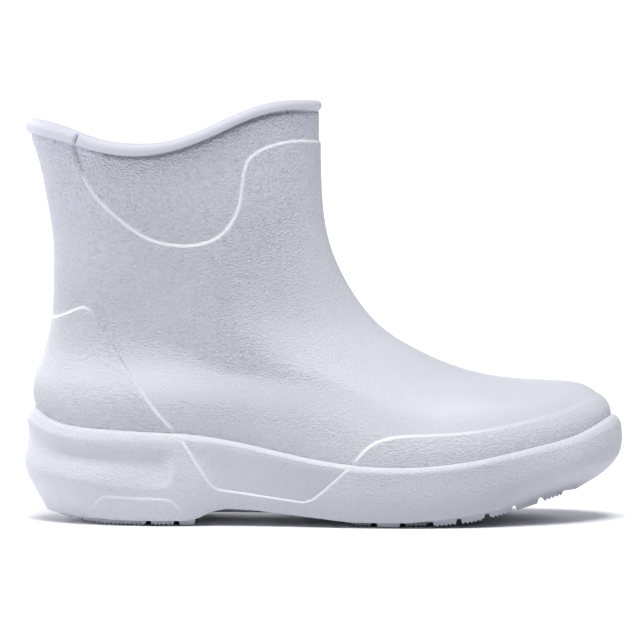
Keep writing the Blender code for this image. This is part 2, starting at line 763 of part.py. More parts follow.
def main():
    clear_scene()
    eva = add_material("white_eva", WHITE_EVA, 0.55)
    rubber = add_material("grey_rubber", RUBBER_GREY, 0.7)
    foam = add_material("insole_foam", INSOLE_GREY, 0.9)

    add_ringed("upper", upper_loops(), eva, closed=True)
    sole = add_ringed("midsole", sole_loops(), eva, closed=False)
    add_ringed("insole", insole_loops(), foam, closed=False)

    toe_grooves = [TOE_GROOVE_FIRST + TOE_GROOVE_PITCH * i for i in range(TOE_GROOVES)]
    add_tread("outsole_heel", HEEL_TREAD, HEEL_GROOVES, sole, rubber)
    add_tread("outsole_forefoot", TOE_TREAD, toe_grooves, sole, rubber)
    for inner in (False, True):
        side = "inner" if inner else "outer"
        rib_insets = (-PANEL_REACH, RIB_PANEL_DEPTH)
        add_side_panel("rib_panel_" + side, RIB_PANEL, rib_insets, "DIFFERENCE", sole, inner)
        plate_insets = (-HEEL_PLATE_STANDS, PANEL_REACH / 2)
        add_side_panel("heel_plate_" + side, HEEL_PLATE, plate_insets, "UNION", sole, inner)


main()
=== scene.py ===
import bpy
import numpy as np
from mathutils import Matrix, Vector


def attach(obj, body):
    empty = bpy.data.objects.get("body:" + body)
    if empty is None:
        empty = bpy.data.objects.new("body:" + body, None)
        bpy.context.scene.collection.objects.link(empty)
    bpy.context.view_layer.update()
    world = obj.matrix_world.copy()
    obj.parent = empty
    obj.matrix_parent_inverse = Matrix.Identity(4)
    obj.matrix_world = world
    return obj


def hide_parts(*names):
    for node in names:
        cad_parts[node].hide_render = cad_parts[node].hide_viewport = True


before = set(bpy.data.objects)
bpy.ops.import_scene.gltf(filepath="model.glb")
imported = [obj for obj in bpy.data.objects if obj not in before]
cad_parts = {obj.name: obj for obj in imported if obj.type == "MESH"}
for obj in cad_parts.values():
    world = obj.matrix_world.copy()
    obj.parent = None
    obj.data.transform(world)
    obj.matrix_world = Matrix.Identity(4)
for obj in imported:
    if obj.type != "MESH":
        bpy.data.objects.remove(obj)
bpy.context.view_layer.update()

# The table: a wide sheet of matt white board that the boot stands on, running far behind it so that
# its end is lost in the white of the room.
bpy.ops.object.select_all(action="DESELECT")
bpy.ops.mesh.primitive_plane_add(size=40.0, location=(0.0, 14.0, -0.0002))
table = bpy.context.object
table.name = "white_table"
bpy.ops.object.transform_apply(location=True, rotation=True, scale=True)
board = bpy.data.materials.new("white_board")
board.use_nodes = True
board_shader = board.node_tree.nodes["Principled BSDF"]
board_shader.inputs["Base Color"].default_value = (0.87, 0.87, 0.90, 1.0)
board_shader.inputs["Roughness"].default_value = 0.9
board_shader.inputs["Specular IOR Level"].default_value = 0.1
table.data.materials.append(board)

# The room: white low round the horizon, dim in front and overhead, with a bright low wall behind the boot
# and one wide soft lamp above and a little in front, so far off that it lights the whole table evenly.
room = bpy.data.worlds.new("white_room")
room.use_nodes = True
bpy.context.scene.world = room
room_nodes = room.node_tree.nodes
room_links = room.node_tree.links
direction = room_nodes.new("ShaderNodeTexCoord")
split = room_nodes.new("ShaderNodeSeparateXYZ")
room_links.new(direction.outputs["Generated"], split.inputs["Vector"])
rise = room_nodes.new("ShaderNodeMapRange")
rise.inputs["From Min"].default_value = 0.05
rise.inputs["From Max"].default_value = 0.10
room_links.new(split.outputs["Z"], rise.inputs["Value"])
to_wall = room_nodes.new("ShaderNodeVectorMath")
to_wall.operation = "DOT_PRODUCT"
to_wall.inputs[1].default_value = (-0.78, 0.60, -0.15)
room_links.new(direction.outputs["Generated"], to_wall.inputs[0])
behind = room_nodes.new("ShaderNodeMapRange")
behind.interpolation_type = "SMOOTHSTEP"
behind.inputs["From Min"].default_value = 0.20
behind.inputs["From Max"].default_value = 0.90
room_links.new(to_wall.outputs["Value"], behind.inputs["Value"])
walls = room_nodes.new("ShaderNodeMix")
walls.data_type = "RGBA"
walls.inputs["A"].default_value = (0.143, 0.146, 0.156, 1.0)
walls.inputs["B"].default_value = (5.20, 5.22, 5.30, 1.0)
near_floor = room_nodes.new("ShaderNodeMapRange")
near_floor.interpolation_type = "SMOOTHSTEP"
near_floor.inputs["From Min"].default_value = 0.60
near_floor.inputs["From Max"].default_value = 0.25
room_links.new(split.outputs["Z"], near_floor.inputs["Value"])
glow = room_nodes.new("ShaderNodeMath")
glow.operation = "MULTIPLY"
room_links.new(behind.outputs["Result"], glow.inputs[0])
room_links.new(near_floor.outputs["Result"], glow.inputs[1])
room_links.new(glow.outputs["Value"], walls.inputs["Factor"])
wash = room_nodes.new("ShaderNodeMix")
wash.data_type = "RGBA"
wash.inputs["A"].default_value = (1.05, 1.05, 1.05, 1.0)
room_links.new(walls.outputs["Result"], wash.inputs["B"])
room_links.new(rise.outputs["Result"], wash.inputs["Factor"])
room_links.new(wash.outputs["Result"], room_nodes["Background"].inputs["Color"])
room_nodes["Background"].inputs["Strength"].default_value = 1.0
bpy.ops.object.light_add(type="SUN", location=(-0.5, -0.6, 3.0))
lamp = bpy.context.object
lamp.name = "wide_soft_lamp"
lamp.data.energy = 3.45
lamp.data.angle = np.radians(30)
lamp.rotation_euler = Vector((0.0, 0.34, -1.0)).to_track_quat("-Z", "Y").to_euler()

# The camera: a long lens level with the boot's collar, two metres off and square to its outer side,
# looking slightly down.
CAMERA_AIM = Vector((-0.0019, 0.0, 0.0972))
bpy.ops.object.camera_add(location=(-0.0019, -2.0, 0.19))
camera = bpy.context.object
camera.name = "long_lens"
camera.data.lens = 231.0
camera.data.sensor_width = 36.0
camera.data.clip_end = 100.0
camera.rotation_euler = (CAMERA_AIM - camera.location).to_track_quat("-Z", "Y").to_euler()
bpy.context.scene.camera = camera
bpy.context.scene.view_settings.view_transform = "Standard"

# The sole cup: the lower half of the moulding, in smooth white EVA foam, with a rounded ledge, a
# scoop in the heel's side, a sunk panel at the waist and a raised plate low on the heel. Its places
# are a turn round the boot, 0 at the heel and 0.5 at the toe, and a step up the wall's profile.
MM = 0.001
HALF_LENGTH = 146.0
HALF_WIDTH = 53.0
WALL = 3.0
PLAN = (
    (-HALF_LENGTH, 0.0), (-133.5, -24.5), (-104.0, -39.5), (-45.0, -41.0), (32.0, -HALF_WIDTH),
    (93.0, -45.5), (130.0, -24.0), (HALF_LENGTH, 7.0), (130.0, 35.5), (98.0, 49.0),
    (57.0, HALF_WIDTH), (-38.0, 37.0), (-104.0, 39.5), (-133.5, 24.5),
)
LEDGE_LINE = (
    (-HALF_LENGTH, 57.5), (-139.9, 55.7), (-135.0, 52.3), (-127.0, 49.1), (-112.0, 47.1),
    (-88.0, 45.7), (-60.0, 43.5), (-41.0, 40.3), (-19.0, 35.4), (6.0, 30.8), (22.0, 29.4),
    (38.0, 29.1), (56.0, 30.2), (76.0, 33.0), (104.0, 38.8), (122.0, 43.2), (139.0, 50.6),
    (HALF_LENGTH, 54.0),
)
WALL_FOOT = (
    (-HALF_LENGTH, 6.5), (-133.0, 4.8), (-116.0, 3.2), (-98.0, 2.5), (-66.0, 2.5), (-60.0, 3.9),
    (-54.0, 6.8), (-47.0, 8.3), (-32.0, 7.5), (-8.0, 4.8), (13.0, 2.5), (40.0, 2.5), (52.0, 3.6),
    (66.0, 5.2), (80.0, 7.4), (94.0, 10.1), (107.0, 12.7), (118.0, 14.3), (HALF_LENGTH, 14.6),
)
FOOTBED = (
    (-HALF_LENGTH, 27.0), (-100.0, 24.0), (-50.0, 22.0), (0.0, 16.5), (40.0, 14.0), (80.0, 17.0),
    (115.0, 23.5), (HALF_LENGTH, 30.0),
)
# Profile of the wall: share of its height, then inset from the plan at heel, side and toe.
WALL_PROFILE = (
    (0.00, 11.0, 3.6, 22.0),
    (0.10, 7.9, 1.9, 16.0),
    (0.24, 4.0, 0.8, 8.6),
    (0.46, 0.0, 0.0, 1.7),
    (0.70, 2.0, 0.1, 0.0),
    (0.85, 1.1, 0.25, 0.5),
    (0.905, 1.5, 0.55, 0.95),
    (0.95, 2.6, 1.5, 2.1),
    (0.985, 4.2, 2.8, 3.8),
    (1.00, 5.8, 4.4, 5.8),
    (1.00, 7.4, 6.0, 7.4),
)
ROOT_INSET = (5.6, 4.2, 5.8)
WAIST_PANEL = (
    (-81.0, 65.0), (-56.5, 21.5), (-53.0, 17.1), (-47.5, 16.2), (-6.6, 11.2), (-3.4, 13.7), (29.8, 45.9),
)
PANEL_ROUNDING = 4.0
PANEL_DEPTH = 0.8
HEEL_PLATE = ((-119.0, -4.0), (-107.0, 14.2), (-73.0, 13.0), (-60.0, -4.0))
PLATE_ROUNDING = 2.5
PLATE_STANDS = 0.5
# The scoop in the heel's side: its lower edge by x, as a share of the wall's height, then its front end.
SCOOP_EDGE = ((-134.0, 0.45), (-117.0, 0.43), (-100.0, 0.38), (-84.0, 0.36))
SCOOP_FRONT = -71.5
SCOOP_CORNER = 9.0
SCOOP_SLOPE = 11.0
SCOOP_DEPTH = 2.4
# Far from any edge, in the masks that count the millimetres to one.
NO_EDGE = 5.0


def soft_step(value, low, high):
    """0 below low, 1 above high, and a soft rise between them."""
    share = np.clip((np.asarray(value, float) - low) / (high - low), 0.0, 1.0)
    return share * share * (3 - 2 * share)


def spline(knots, values, at):
    """Values at the given places on the smooth curve that runs through the knots."""
    knots = np.asarray(knots, float)
    values = np.asarray(values, float)
    run = np.diff(knots)
    slope = np.diff(values) / run
    system = np.eye(len(knots))
    target = np.zeros(len(knots))
    for i in range(1, len(knots) - 1):
        system[i, i - 1 : i + 2] = run[i - 1], 2 * (run[i - 1] + run[i]), run[i]
        target[i] = 6 * (slope[i] - slope[i - 1])
    bend = np.linalg.solve(system, target)
    at = np.asarray(at, float)
    i = np.clip(np.searchsorted(knots, at) - 1, 0, len(run) - 1)
    ahead = knots[i + 1] - at
    behind = at - knots[i]
    curve = (bend[i] * ahead**3 + bend[i + 1] * behind**3) / (6 * run[i])
    start = (values[i] / run[i] - bend[i] * run[i] / 6) * ahead
    end = (values[i + 1] / run[i] - bend[i + 1] * run[i] / 6) * behind
    return curve + start + end


def line_height(line, x):
    """Height of a side line at x, smooth through its points and held inside its ends."""
    knots, heights = zip(*line)
    return spline(knots, heights, np.clip(x, knots[0], knots[-1]))


def trace(points, closed, count=900):
    """Points evenly spaced along the smooth curve through the given ones."""
    points = np.asarray(points, float)
    laps = np.vstack([points, points, points, points[:1]]) if closed else points
    run = np.concatenate([[0], np.cumsum(np.linalg.norm(np.diff(laps, axis=0), axis=1))])
    first, last = (len(points), 2 * len(points)) if closed else (0, len(points) - 1)
    at = np.linspace(run[first], run[last], 4 * count)
    dense = np.column_stack([spline(run, column, at) for column in laps.T])
    length = np.concatenate([[0], np.cumsum(np.linalg.norm(np.diff(dense, axis=0), axis=1))])
    even = np.linspace(0, length[-1], count)
    return np.column_stack([np.interp(even, length, column) for column in dense.T])


plan = trace(PLAN, closed=True)
plan -= (plan.min(axis=0) + plan.max(axis=0)) / 2
plan_along = np.roll(plan[:-1], -1, axis=0) - np.roll(plan[:-1], 1, axis=0)
plan_along = np.vstack([plan_along, plan_along[:1]])
plan_along /= np.linalg.norm(plan_along, axis=1)[:, None]
plan_tip = int(np.argmax(plan[:, 0]))
plan_turns = np.concatenate([
    np.linspace(0, 0.5, plan_tip + 1), np.linspace(0.5, 1, len(plan) - plan_tip)[1:]
])


def plan_at(turn, inset):
    """x and y of the sole's plan at a turn, moved inwards."""
    x, y = (np.interp(turn, plan_turns, column) for column in plan.T)
    along_x, along_y = (np.interp(turn, plan_turns, column) for column in plan_along.T)
    length = np.hypot(along_x, along_y)
    return x - inset * along_y / length, y + inset * along_x / length


def by_place(turn, heel, side, toe):
    """Blends a heel, a side and a toe value by the place round the boot."""
    x, _ = plan_at(turn, 0)
    at_heel = 1 - soft_step(x, -134.0, -70.0)
    at_toe = soft_step(x, 70.0, 136.0)
    return side + at_heel * (heel - side) + at_toe * (toe - side)


def distance_to(corners, rounding, x, z):
    """Distance in the side view to a rounded convex outline, below 0 inside it."""
    corners = np.asarray(corners, float)
    middle = corners.mean(axis=0)
    edges = np.roll(corners, -1, axis=0) - corners
    out = np.column_stack([edges[:, 1], -edges[:, 0]])
    out /= np.linalg.norm(out, axis=1)[:, None]
    out *= np.sign(np.sum(out * (corners - middle), axis=1))[:, None]
    gaps = [(x - c[0]) * n[0] + (z - c[1]) * n[1] + rounding for c, n in zip(corners, out)]
    over = np.sqrt(np.sum(np.maximum(gaps, 0) ** 2, axis=0))
    return over + np.minimum(np.max(gaps, axis=0), 0) - rounding


def scoop_depth(x, share, wall_height):
    """Depth of the heel's scoop, from 0 to 1, and how far a place lies within its lower and front edge."""
    above = (share - np.interp(x, *zip(*SCOOP_EDGE))) * wall_height
    behind = 1.6 * (SCOOP_FRONT - x)
    to_corner = np.hypot(np.minimum(above - SCOOP_CORNER, 0), np.minimum(behind - SCOOP_CORNER, 0))
    in_corner = (above < SCOOP_CORNER) & (behind < SCOOP_CORNER)
    within = np.where(in_corner, SCOOP_CORNER - to_corner, np.minimum(above, behind))
    slope = np.clip(within / SCOOP_SLOPE, 0, 1)
    return slope * soft_step(x, -146.0, -118.0) * (1 - soft_step(share, 0.66, 0.83)), within


def wall_places(turn, step, lift=0.0):
    """Points of the sole's wall at a step up its profile, how far each lies from a moulded edge, how
    strong the painted highlight along that edge is (the grain is smoothed there too), and how much painted
    shade the foam gets there."""
    shares, heel, side, toe = zip(*WALL_PROFILE)
    steps = np.arange(len(shares))
    share = spline(steps, shares, step)
    inset = by_place(turn, *(spline(steps, column, step) for column in (heel, side, toe)))
    foot_x, _ = plan_at(turn, by_place(turn, heel[0], side[0], toe[0]))
    root_x, _ = plan_at(turn, by_place(turn, *ROOT_INSET))
    foot = np.interp(foot_x, *zip(*WALL_FOOT))
    z = foot + (line_height(LEDGE_LINE, root_x) - foot) * share
    x, _ = plan_at(turn, inset)

    bowl, within = scoop_depth(x, share, line_height(LEDGE_LINE, root_x) - foot)
    to_panel = distance_to(WAIST_PANEL, PANEL_ROUNDING, x, z)
    panel = soft_step(-to_panel, -0.5, 0.8) * (1 - soft_step(share, 0.88, 0.94))
    to_plate = distance_to(HEEL_PLATE, PLATE_ROUNDING, x, z)
    plate = soft_step(-to_plate, -0.4, 0.6)
    inset = inset + SCOOP_DEPTH * bowl + PANEL_DEPTH * panel - PLATE_STANDS * plate - lift
    x, y = plan_at(turn, inset)

    # Painted highlight along the panel's and the plate's edges, the scoop's rim and the ledge, where the
    # grain is also smoothed.
    panel_lip = np.abs(to_panel - 0.3)
    plate_lip = np.abs(to_plate - 0.1) + 0.35
    lip = np.clip(np.minimum(panel_lip, plate_lip), 0, NO_EDGE)
    worn = np.where(panel_lip < plate_lip, 1.0, 0.8 * soft_step(z, 6.0, 12.0))
    worn = worn * (1 - soft_step(share, 0.90, 0.94))
    scoop_rim = 0.4 * np.abs(within - 2.5)
    rim_worn = 0.2 * soft_step(x, -90.0, -79.0) * (1 - soft_step(share, 0.66, 0.78))
    worn = np.where(scoop_rim < lip, rim_worn, worn)
    lip = np.minimum(lip, scoop_rim)
    on_ledge = step > 6.8
    lip = np.where(on_ledge, np.abs(step - 8.2), lip)
    worn = np.where(on_ledge, 0.22, worn)
    # Painted shade on the wall below the ledge, most under the ball and least at heel and toe.
    wall_shade = np.interp(x, (-90, -40, 20, 80, 115), (0.02, 0.1, 0.26, 0.25, 0.05))
    wall_shade = wall_shade * (1 - soft_step(step, 5.5, 7.0))
    return np.stack([x, y, z], axis=-1), lip, worn, wall_shade


def even_turns(count, closer=()):
    """Turns of columns from 0 to 1, closer together in the given stretches of x."""
    turns = np.linspace(0, 0.5, 2000)
    x, _ = plan_at(turns, 0)
    weight = np.ones(len(turns))
    for low, high, times in closer:
        weight += (times - 1) * soft_step(x, low - 4, low + 4) * (1 - soft_step(x, high - 4, high + 4))
    reach = np.concatenate([[0], np.cumsum(weight[1:])])
    outer = np.interp(np.linspace(0, reach[-1], count // 2 + 1), reach, turns)
    return np.concatenate([outer, 1 - outer[-2::-1]])


def add_form(name, rows, **masks):
    """A grid whose rows are pulled onto a form. Rows that meet are merged, open ends are filled."""
    rows = np.asarray(rows, float)
    bpy.ops.object.select_all(action="DESELECT")
    down, along, _ = rows.shape
    bpy.ops.mesh.primitive_grid_add(x_subdivisions=along - 1, y_subdivisions=down - 1, size=1.0)
    form = bpy.context.object
    form.name = name
    form.data.name = name
    form.data.vertices.foreach_set("co", (rows * MM).ravel())
    for mask, values in masks.items():
        layer = form.data.attributes.new(mask, "FLOAT", "POINT")
        layer.data.foreach_set("value", np.asarray(values, float).ravel())
    bpy.ops.object.mode_set(mode="EDIT")
    bpy.ops.mesh.select_all(action="SELECT")
    bpy.ops.mesh.remove_doubles(threshold=1e-6)
    bpy.ops.mesh.select_all(action="SELECT")
    bpy.ops.mesh.fill_holes(sides=0)
    bpy.ops.mesh.select_all(action="SELECT")
    bpy.ops.mesh.normals_make_consistent(inside=False)
    bpy.ops.object.mode_set(mode="OBJECT")
    bpy.ops.object.shade_smooth()
    return form


def spine_of(ring):
    """The middle line of a ring, with one point for each of its columns."""
    return (ring + ring[::-1]) / 2


turns = even_turns(660, closer=((-146.0, 16.0, 1.7),))
sole_rows = []
sole_lip = []
sole_worn = []
sole_shade = []
plain = np.zeros(len(turns))
foot_ring, _, _, foot_shade = wall_places(turns, plain)
# Under the arch the middle of the sole runs straight, and only its sides are carved up to the wall.
ARCH = (-66.0, 13.0)
ARCH_MIDDLE = 4.2
keel = spine_of(foot_ring)
in_arch = (keel[:, 0] > ARCH[0]) & (keel[:, 0] < ARCH[1])
keel[:, 2] = np.where(in_arch, np.minimum(keel[:, 2], ARCH_MIDDLE), keel[:, 2])
for share in (0.0, 0.1, 0.2, 0.28, 0.34, 0.40, 0.46, 0.6, 0.72, 0.79, 0.86, 0.94):
    across = keel + share * (foot_ring - keel)
    carved = np.where(turns < 0.5, soft_step(share, 0.26, 0.44), soft_step(share, 0.70, 0.92))
    across[:, 2] = keel[:, 2] + carved * (foot_ring[:, 2] - keel[:, 2])
    sole_rows.append(across)
    sole_lip.append(plain + NO_EDGE)
    sole_worn.append(plain)
    sole_shade.append(foot_shade)
for step in np.concatenate([np.linspace(0, 5.2, 74), np.linspace(5.2, 10, 30)[1:]]):
    ring, lip, worn, wall_shade = wall_places(turns, plain + step)
    sole_rows.append(ring)
    sole_lip.append(lip)
    sole_worn.append(worn)
    sole_shade.append(wall_shade)
root_inset = by_place(turns, *ROOT_INSET)
rim_x, rim_y = plan_at(turns, root_inset + WALL)
root_x, _ = plan_at(turns, root_inset)
rim = np.column_stack([rim_x, rim_y, line_height(LEDGE_LINE, root_x)])
bed_x, bed_y = plan_at(turns, root_inset + WALL + 1.5)
bed = np.column_stack([bed_x, bed_y, line_height(FOOTBED, bed_x)])
for share in np.linspace(0, 1, 8):
    sole_rows.append(rim + share * (bed - rim))
    sole_lip.append(plain + NO_EDGE)
    sole_worn.append(plain)
    sole_shade.append(plain)
for share in np.linspace(1, 0, 6)[1:]:
    sole_rows.append(spine_of(bed) + share * (bed - spine_of(bed)))
    sole_lip.append(plain + NO_EDGE)
    sole_worn.append(plain)
    sole_shade.append(plain)
sole_fine = np.full((len(sole_rows), len(turns)), 0.7)
# On the sole cup the shade mask carries painted shade low on the wall, and the edge mask a painted highlight.
sole_cup = add_form("sole_cup", sole_rows, lip=sole_lip, worn=sole_worn, fine=sole_fine, crease=sole_shade)

# Grain of moulded foam: fine pebbles and leather-like wrinkles, each as deep as its mask says.
grain = bpy.data.node_groups.new("moulded_grain", "ShaderNodeTree")
grain.interface.new_socket("Fine", in_out="INPUT", socket_type="NodeSocketFloat")
grain.interface.new_socket("Coarse", in_out="INPUT", socket_type="NodeSocketFloat")
grain.interface.new_socket("Edge", in_out="INPUT", socket_type="NodeSocketFloat")
grain.interface.new_socket("Height", in_out="OUTPUT", socket_type="NodeSocketFloat")
grain.interface.new_socket("Tone", in_out="OUTPUT", socket_type="NodeSocketFloat")
grain_in = grain.nodes.new("NodeGroupInput")
grain_out = grain.nodes.new("NodeGroupOutput")
grain_place = grain.nodes.new("ShaderNodeTexCoord")


def grain_noise(scale, stretch, detail, distortion):
    """One layer of the grain, in lumps of about 1/scale metres that are stretched along the boot."""
    along = grain.nodes.new("ShaderNodeMapping")
    along.inputs["Scale"].default_value = (1 / stretch, 1.0, 1.0)
    grain.links.new(grain_place.outputs["Object"], along.inputs["Vector"])
    noise = grain.nodes.new("ShaderNodeTexNoise")
    noise.inputs["Scale"].default_value = scale
    noise.inputs["Detail"].default_value = detail
    noise.inputs["Distortion"].default_value = distortion
    grain.links.new(along.outputs["Vector"], noise.inputs["Vector"])
    return noise.outputs["Fac"]


def grain_math(operation, first, second):
    """One sum of the grain. A plain number is set on the socket."""
    node = grain.nodes.new("ShaderNodeMath")
    node.operation = operation
    for socket, value in zip(node.inputs, (first, second)):
        if isinstance(value, (int, float)):
            socket.default_value = value
        else:
            grain.links.new(value, socket)
    return node.outputs["Value"]


pebbles = grain_noise(1150.0, 1.3, 1.0, 0.1)
wrinkles = grain_noise(900.0, 2.0, 2.0, 0.7)
clouds = grain_noise(26.0, 1.0, 2.0, 0.0)
smooth = grain_math("SUBTRACT", 1.0, grain_in.outputs["Edge"])
fine_part = grain_math("MULTIPLY", grain_math("SUBTRACT", pebbles, 0.5), grain_in.outputs["Fine"])
coarse_part = grain_math("MULTIPLY", grain_math("SUBTRACT", wrinkles, 0.5), grain_in.outputs["Coarse"])
height = grain_math("MULTIPLY", grain_math("ADD", fine_part, coarse_part), smooth)
grain.links.new(height, grain_out.inputs["Height"])
tone = grain_math("ADD", grain_math("MULTIPLY", clouds, 0.35), grain_math("MULTIPLY", pebbles, 0.25))
grain.links.new(tone, grain_out.inputs["Tone"])

# White foam: its colour varies in soft clouds, is paler where light is painted in and greyer where shade
# is painted in, and has a painted highlight along the moulded edges, where the grain is also smoothed.
sole_foam = bpy.data.materials.new("white_foam")
sole_foam.use_nodes = True
foam_nodes = sole_foam.node_tree.nodes
foam_links = sole_foam.node_tree.links
foam_shader = foam_nodes["Principled BSDF"]
foam_shader.inputs["Roughness"].default_value = 0.55
foam_shader.inputs["Specular IOR Level"].default_value = 0.35
foam_skin = foam_nodes.new("ShaderNodeGroup")
foam_skin.node_tree = grain
foam_masks = {}
for mask in ("fine", "coarse", "lip", "worn", "crease", "pale"):
    layer = foam_nodes.new("ShaderNodeAttribute")
    layer.attribute_name = mask
    foam_masks[mask] = layer.outputs["Fac"]
foam_links.new(foam_masks["fine"], foam_skin.inputs["Fine"])
foam_links.new(foam_masks["coarse"], foam_skin.inputs["Coarse"])
foam_line = foam_nodes.new("ShaderNodeMapRange")
foam_line.interpolation_type = "SMOOTHSTEP"
foam_line.inputs["From Min"].default_value = 1.35
foam_line.inputs["From Max"].default_value = 0.0
foam_links.new(foam_masks["lip"], foam_line.inputs["Value"])
foam_highlight_and_smoothing = foam_nodes.new("ShaderNodeMath")
foam_highlight_and_smoothing.operation = "MULTIPLY"
foam_links.new(foam_line.outputs["Result"], foam_highlight_and_smoothing.inputs[0])
foam_links.new(foam_masks["worn"], foam_highlight_and_smoothing.inputs[1])
foam_links.new(foam_highlight_and_smoothing.outputs["Value"], foam_skin.inputs["Edge"])
foam_colour = foam_nodes.new("ShaderNodeMix")
foam_colour.data_type = "RGBA"
foam_colour.inputs["A"].default_value = (0.50, 0.51, 0.565, 1.0)
foam_colour.inputs["B"].default_value = (0.705, 0.715, 0.755, 1.0)
foam_links.new(foam_skin.outputs["Tone"], foam_colour.inputs["Factor"])
# Painted light: a paler, bluer white mixed in where the light mask says, at the heel, the collar and the
# bead.
foam_paled = foam_nodes.new("ShaderNodeMix")
foam_paled.data_type = "RGBA"
foam_paled.inputs["B"].default_value = (0.665, 0.675, 0.765, 1.0)
foam_links.new(foam_masks["pale"], foam_paled.inputs["Factor"])
foam_links.new(foam_colour.outputs["Result"], foam_paled.inputs["A"])
# Painted highlight: a lighter white mixed in along the moulded edges.
foam_highlighted = foam_nodes.new("ShaderNodeMix")
foam_highlighted.data_type = "RGBA"
foam_highlighted.inputs["B"].default_value = (0.77, 0.78, 0.815, 1.0)
foam_links.new(foam_highlight_and_smoothing.outputs["Value"], foam_highlighted.inputs["Factor"])
foam_links.new(foam_paled.outputs["Result"], foam_highlighted.inputs["A"])
# Painted shade: a dark grey mixed in where the shade mask says, in grooves, under the bead and on parts of
# the walls.
foam_creased = foam_nodes.new("ShaderNodeMix")
foam_creased.data_type = "RGBA"
foam_creased.inputs["B"].default_value = (0.22, 0.225, 0.25, 1.0)
foam_links.new(foam_masks["crease"], foam_creased.inputs["Factor"])
foam_links.new(foam_highlighted.outputs["Result"], foam_creased.inputs["A"])
foam_links.new(foam_creased.outputs["Result"], foam_shader.inputs["Base Color"])
foam_bump = foam_nodes.new("ShaderNodeBump")
foam_bump.inputs["Distance"].default_value = MM
foam_links.new(foam_skin.outputs["Height"], foam_bump.inputs["Height"])
foam_links.new(foam_bump.outputs["Normal"], foam_shader.inputs["Normal"])
sole_cup.data.materials.append(sole_foam)
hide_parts("midsole")
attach(sole_cup, "root")

# The waist ribs: fine slanting ribs moulded in the floor of the sole's sunk panels, one panel on each
# side. They are of the sole's own foam and run out at the panel's borders.
RIB_PITCH = 1.5
RIB_HIGH = 0.38
RIB_TOP = 0.93
RIB_ROOT = 0.12
RIB_BACK = 0.8
lean = np.arange(-107.0, -16.0, RIB_PITCH / 6)
round_turns = np.linspace(0, 0.5, 900)
round_x, _ = plan_at(round_turns, 0)
profile_steps = np.linspace(0, 6, 200)
profile_shares = spline(np.arange(len(WALL_PROFILE)), [row[0] for row in WALL_PROFILE], profile_steps)
for side in ("outer", "inner"):
    z = np.linspace(8.0, 46.0, 400)[:, None]
    x = lean[None, :] + z
    foot = np.interp(x, *zip(*WALL_FOOT))
    share = (z - foot) / (line_height(LEDGE_LINE, x) - foot)
    inside = (distance_to(WAIST_PANEL, PANEL_ROUNDING, x, z) < -0.3) & (share < RIB_TOP)
    low = np.where(inside.any(axis=0), z[np.argmax(inside, axis=0), 0], np.nan)
    high = np.where(inside.any(axis=0), z[len(z) - 1 - np.argmax(inside[::-1], axis=0), 0], np.nan)
    kept = ~np.isnan(low)
    ups = np.linspace(0, 1, 22)[:, None]
    z = low[kept] + ups * (high - low)[kept]
    x = lean[kept] + z
    foot = np.interp(x, *zip(*WALL_FOOT))
    share = (z - foot) / (line_height(LEDGE_LINE, x) - foot)
    turn = np.interp(x, round_x, round_turns)
    step = np.interp(share, profile_shares, profile_steps)
    from_border = soft_step(-distance_to(WAIST_PANEL, PANEL_ROUNDING, x, z), 0.3, 1.8)
    border = np.minimum(from_border, soft_step(RIB_TOP - share, 0.0, 0.06)) * soft_step(ups, -0.15, 0.45)
    wave = 0.5 + 0.5 * np.cos(2 * np.pi * (x - z) / RIB_PITCH)
    rib = RIB_HIGH * wave * border - RIB_ROOT * (1 - border)
    if side == "inner":
        turn = 1 - turn
    front, _, _, rib_shade = wall_places(turn, step, rib)
    back, _, _, _ = wall_places(turn, step, np.full(rib.shape, -RIB_BACK))
    # The ribs take the wall's painted shade too.
    rib_shade = np.concatenate([rib_shade, rib_shade[::-1], rib_shade[:1]])
    ribs = add_form("waist_ribs_" + side, np.concatenate([front, back[::-1], front[:1]]), crease=rib_shade)
    ribs.data.materials.append(sole_foam)
    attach(ribs, "root")

# The treads: two plates of pale grey rubber let into the sole's underside, one under the heel and one
# under ball and toe, with cross lugs, a groove along the middle and fine teeth on most lugs. Two lugs
# under the ball stop short of the outer side.
GROUND = (
    (-131.0, 3.9), (-124.0, 2.5), (-116.0, 1.2), (-106.0, 0.0), (-62.0, 0.0), (12.0, 0.0), (48.0, 0.0),
    (56.0, 0.7), (70.0, 2.1), (84.0, 5.0), (99.0, 8.2), (120.0, 12.6),
)
TREAD_LIP = 3.4
LUG = 2.5
TOOTH = 0.8
TOOTH_PITCH = 2.05
TOOTHED = {"tread_heel": (1, 2), "tread_forefoot": (0, 2, 3, 4, 5, 7)}
SHORT = {"tread_heel": (), "tread_forefoot": (0, 2)}
SHORT_BY = 6.0
PLATE = 2.0


def tread_side(x, inner):
    """y of a tread's outer or inner side at x, a lip's width inside the foot of the wall."""
    round_turns = np.linspace(0.5, 1, 600) if inner else np.linspace(0, 0.5, 600)
    _, heel, side, toe = WALL_PROFILE[0]
    foot_x, foot_y = plan_at(round_turns, by_place(round_turns, heel, side, toe) + TREAD_LIP)
    order = np.argsort(foot_x)
    return np.interp(x, foot_x[order], foot_y[order])


